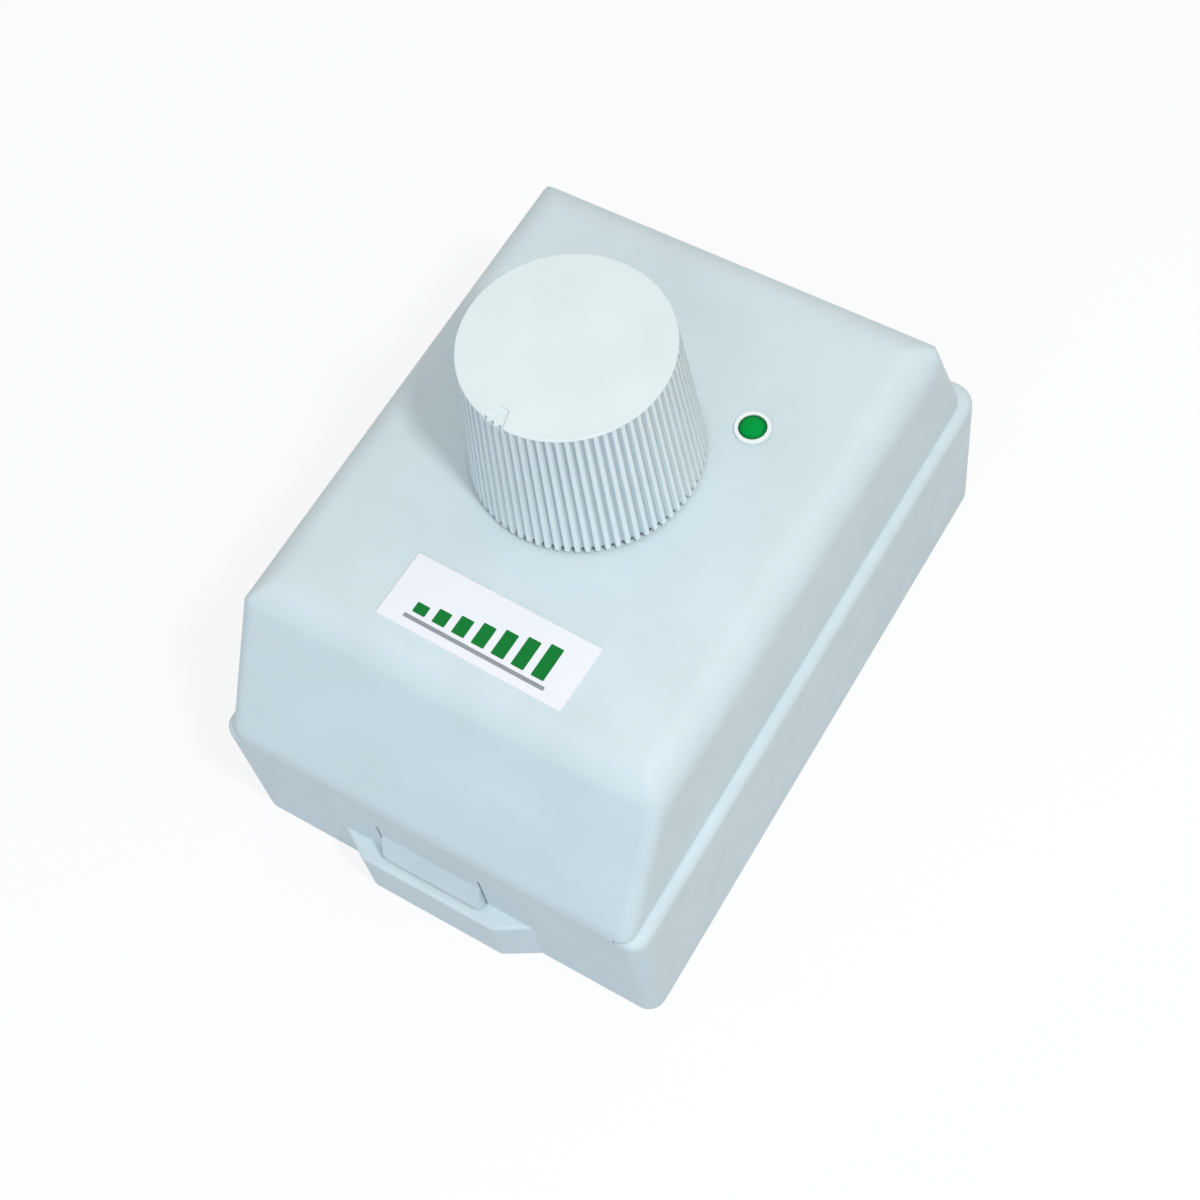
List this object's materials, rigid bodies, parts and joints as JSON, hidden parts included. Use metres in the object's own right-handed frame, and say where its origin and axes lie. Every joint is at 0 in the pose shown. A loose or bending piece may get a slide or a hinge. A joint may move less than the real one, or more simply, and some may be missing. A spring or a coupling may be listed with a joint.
{
  "type": "fan and light dimmer",
  "caption": "Surface-mounted rotary dimmer for a fan or light: a wall box with a clip-on cover, a fluted turning knob, a green indicator lamp and the control electronics inside.",
  "frame": {"origin": "centre of the box's back face, midway between the two wall screw holes", "axes": "+Z out of the wall along the knob, +Y along the long side away from the pull tab, +X across"},
  "size_m": [0.053, 0.0783, 0.057],
  "materials": {
    "shell_plastic": "satin moulded, fine texture",
    "knob_plastic": "satin moulded",
    "ring_plastic": "gloss",
    "lamp_plastic": "clear green",
    "label_film": "printed film",
    "plated_steel": "zinc plated",
    "plated_brass": "machined",
    "can_metal": "tinned",
    "track_board": "phenolic",
    "spring_bronze": "sprung strip",
    "tinned_wire": "tinned",
    "switch_plastic": "moulded",
    "cam_plastic": "moulded",
    "circuit_board": "laminate",
    "package_plastic": "moulded",
    "sink_metal": "bent sheet",
    "coil_copper": "enamelled copper",
    "core_ferrite": "sintered",
    "film_case": "dipped",
    "timing_case": "dipped",
    "fuse_glass": "clear",
    "fuse_metal": "plated",
    "resistor_coat": "lacquered",
    "diode_glass": "glazed",
    "block_plastic": "moulded"
  },
  "bodies": {
    "base": {"base_housing": "shell_plastic"},
    "latch": {"release_latch": "shell_plastic"},
    "cover": {"cover": "shell_plastic", "front_label": "label_film", "lamp_bezel": "ring_plastic", "lamp_body": "lamp_plastic", "lamp_legs": "tinned_wire", "pot_bushing": "plated_brass", "pot_washer": "plated_steel", "pot_nut": "plated_steel", "pot_can": "can_metal", "pot_track": "track_board", "pot_legs": "tinned_wire", "switch_case": "switch_plastic", "switch_legs": "tinned_wire", "switch_contact": "spring_bronze", "circuit_board": "circuit_board", "board_screws": "plated_steel", "triac_body": "package_plastic", "triac_tab": "tinned_wire", "triac_legs": "tinned_wire", "heat_sink": "sink_metal", "triac_screw": "plated_steel", "triac_nut": "plated_steel", "choke_core": "core_ferrite", "choke_winding": "coil_copper", "film_capacitor": "film_case", "film_legs": "tinned_wire", "timing_capacitor": "timing_case", "timing_legs": "tinned_wire", "fuse_tube": "fuse_glass", "fuse_caps": "fuse_metal", "fuse_legs": "tinned_wire", "resistors": "resistor_coat", "resistor_legs": "tinned_wire", "trigger_diode": "diode_glass", "diode_legs": "tinned_wire", "terminal_block": "block_plastic", "terminal_clamps": "plated_brass", "terminal_screws": "plated_steel"},
    "rotor": {"knob": "knob_plastic", "pot_shaft": "plated_brass", "pot_wiper": "spring_bronze", "switch_cam": "cam_plastic"}
  },
  "joints": [
    {"name": "cover_lift", "type": "slide", "parent": "base", "child": "cover", "axis": [0, 0, 1], "range_m": [0, 0.06]},
    {"name": "knob_turn", "type": "hinge", "parent": "cover", "child": "rotor", "pos_m": [-0.0015, 0.002, 0.0384], "axis": [0, 0, 1], "range_deg": [-300, 0]},
    {"name": "latch_flex", "type": "hinge", "parent": "base", "child": "latch", "pos_m": [-0.0005, -0.038, 0.0146], "axis": [-1, 0, 0], "range_deg": [0, 7], "stiffness_Nm_per_rad": 0.06}
  ]
}
